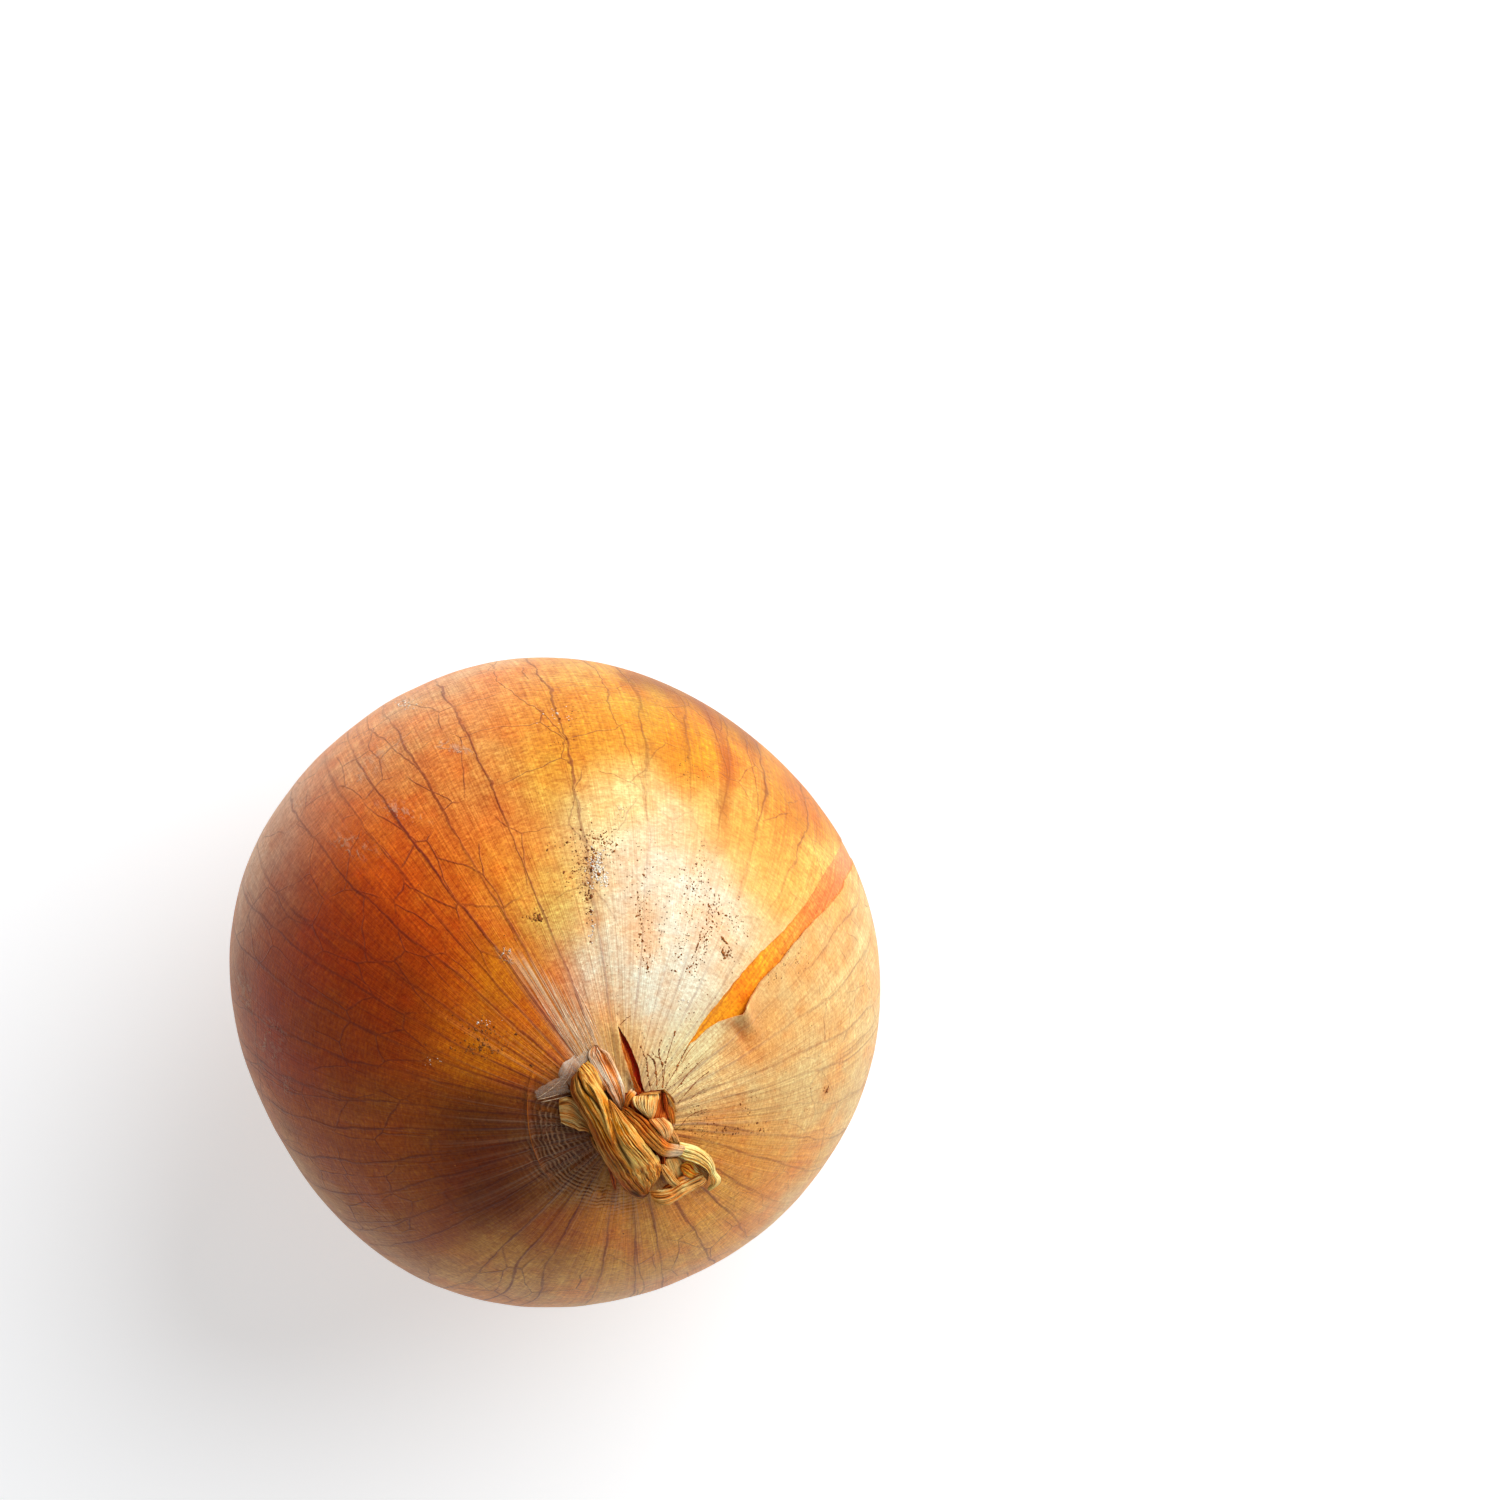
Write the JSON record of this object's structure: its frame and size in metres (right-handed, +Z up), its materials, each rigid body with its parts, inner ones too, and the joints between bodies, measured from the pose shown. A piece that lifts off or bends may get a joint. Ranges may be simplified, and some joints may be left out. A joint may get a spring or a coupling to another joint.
{
  "type": "onion",
  "caption": "Whole yellow onion with papery veined skin, torn in one long split, a dried twisted neck and a short root tuft.",
  "frame": {"origin": "on the floor, at the middle of the onion's footprint box", "axes": "+Z up as the onion rests; the dried neck leans 26.5 degrees off upright toward +X and -Y, 59 degrees clockwise from +X seen from above"},
  "size_m": [0.0796, 0.0798, 0.0777],
  "materials": {
    "under_skin": "satin",
    "papery_skin": "satin",
    "straw_leaf": "matte",
    "tan_leaf": "matte",
    "knot_leaf": "matte",
    "pale_leaf": "matte",
    "thin_leaf": "matte",
    "shredded_leaf": "matte",
    "clear_film": "satin",
    "corky_root": "matte"
  },
  "bodies": {
    "root": {"bulb": "under_skin", "outer_skin": "papery_skin", "neck_leaf_wide": "straw_leaf", "neck_leaf_band": "tan_leaf", "neck_leaf_knot": "knot_leaf", "neck_leaf_curled": "pale_leaf", "neck_sliver": "thin_leaf", "neck_scrap": "shredded_leaf", "film_scrap": "clear_film", "root_plate": "corky_root"}
  },
  "joints": []
}
